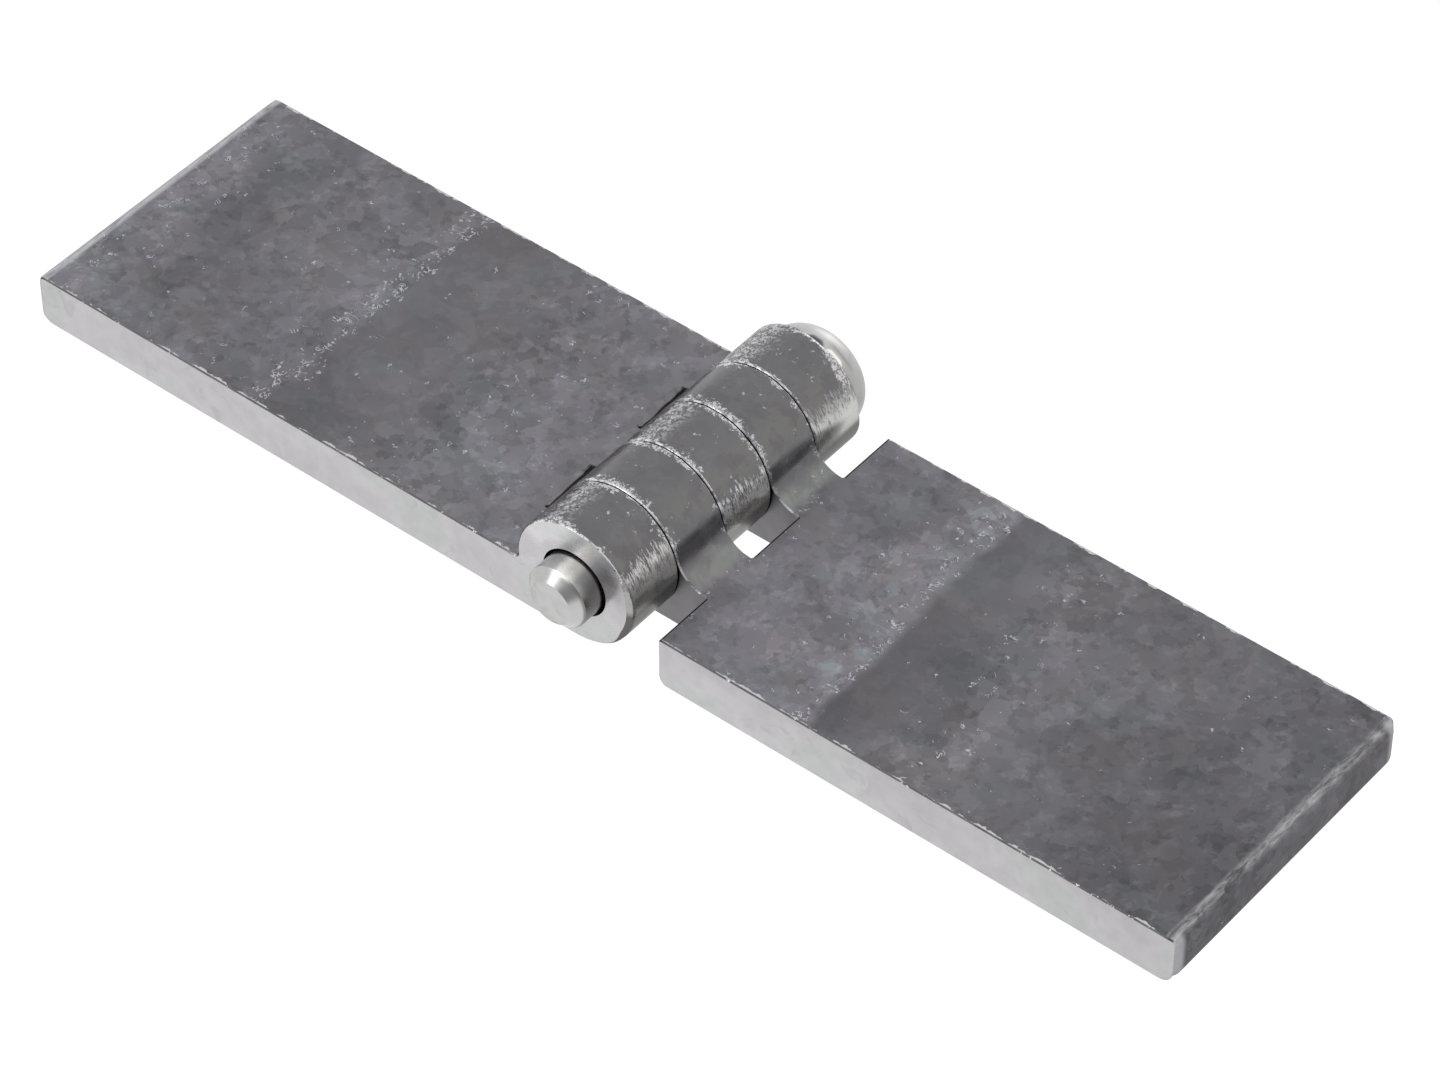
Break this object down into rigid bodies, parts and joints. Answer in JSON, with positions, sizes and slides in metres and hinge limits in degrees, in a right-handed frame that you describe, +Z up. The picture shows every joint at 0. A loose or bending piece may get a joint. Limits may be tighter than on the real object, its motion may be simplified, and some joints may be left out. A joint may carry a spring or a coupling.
{
  "type": "weld-on hinge",
  "caption": "Heavy steel weld-on hinge with plain leaves, interlocking barrel knuckles and a headed pin, lying open and flat.",
  "frame": {"origin": "under the pin's axis, half-way along the barrel, on the plane of the leaves' undersides", "axes": "+X across the leaves towards the two-knuckle leaf, +Y along the pin towards its head, +Z up from the undersides"},
  "size_m": [0.2, 0.0607, 0.02],
  "materials": {
    "rolled_steel": "dark mill scale, cut faces bright grey",
    "turned_steel": "bright turned"
  },
  "bodies": {
    "fixed_leaf": {"three_knuckle_leaf": "rolled_steel", "pin": "turned_steel"},
    "swinging_leaf": {"two_knuckle_leaf": "rolled_steel"}
  },
  "joints": [
    {"name": "leaf_swing", "type": "hinge", "parent": "fixed_leaf", "child": "swinging_leaf", "pos_m": [0, 0, 0.01], "axis": [0, -1, 0], "range_deg": [-105, 180]}
  ]
}
